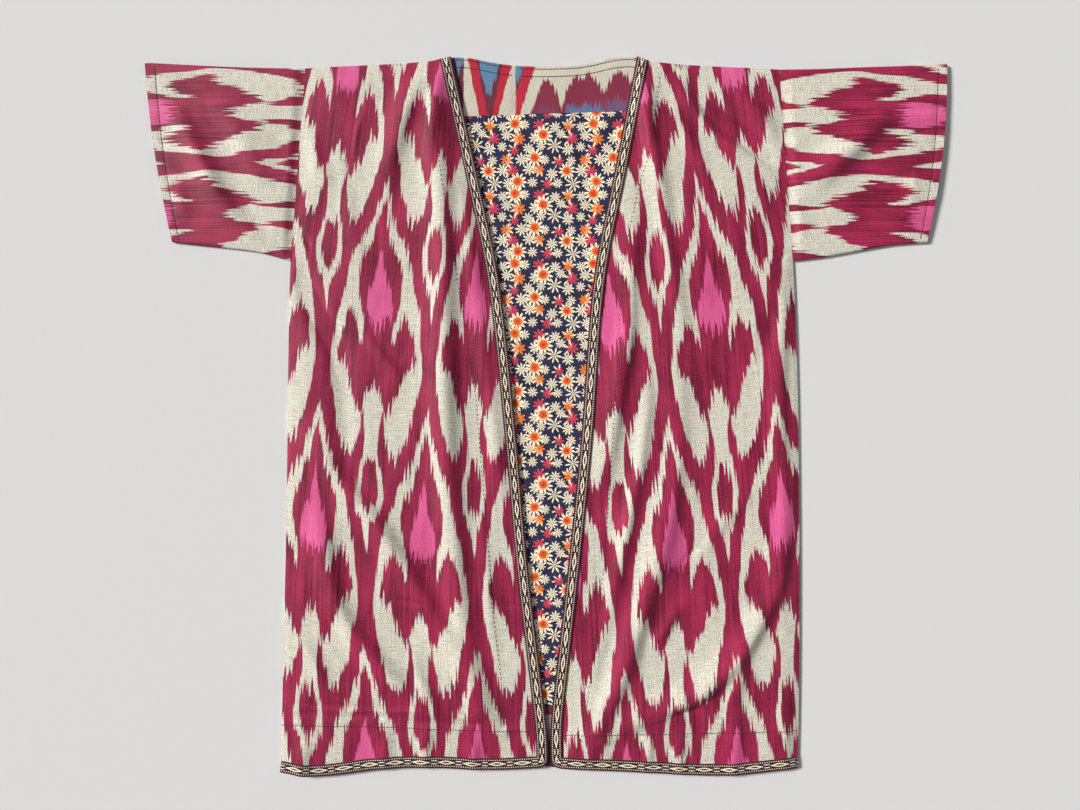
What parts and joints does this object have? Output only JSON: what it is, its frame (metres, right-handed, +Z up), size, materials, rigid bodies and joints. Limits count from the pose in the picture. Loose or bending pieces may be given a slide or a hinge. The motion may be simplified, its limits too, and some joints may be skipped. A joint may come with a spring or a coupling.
{
  "type": "uzbek ikat chapan robe laid flat",
  "caption": "Open-fronted Uzbek chapan robe of crimson and cream ikat with short sleeves, patterned braid edging and a floral lining, laid flat on its back.",
  "frame": {"origin": "centre of the robe's bounding box at the level of the surface that it lies on", "axes": "+X from the wearer's right sleeve to the left one, +Y from hem to neck, +Z up from the surface to the fronts"},
  "size_m": [1.0202, 0.9149, 0.0104],
  "materials": {
    "crimson_ikat": "warp ikat of crimson, magenta and undyed cream, with a slight satin sheen",
    "striped_ikat": "matt ikat of red, blue and cream",
    "pale_ikat": "matt cream ikat with dark red peaks and some blue",
    "floral_calico": "matt printed cotton, daisies on navy",
    "red_cotton": "matt dark red cotton",
    "patterned_braid": "woven dark maroon braid with a cream chain and dotted edges"
  },
  "bodies": {
    "root": {"back_panel": "crimson_ikat", "right_front_panel": "crimson_ikat", "left_front_panel": "crimson_ikat", "right_sleeve": "crimson_ikat", "left_sleeve": "crimson_ikat", "neck_facing_right": "striped_ikat", "neck_facing_left": "pale_ikat", "back_lining": "floral_calico", "hem_facing_strip": "red_cotton", "hem_facing": "pale_ikat", "right_edge_braid": "patterned_braid", "left_edge_braid": "patterned_braid", "right_hem_braid": "patterned_braid", "left_hem_braid": "patterned_braid"}
  },
  "joints": []
}
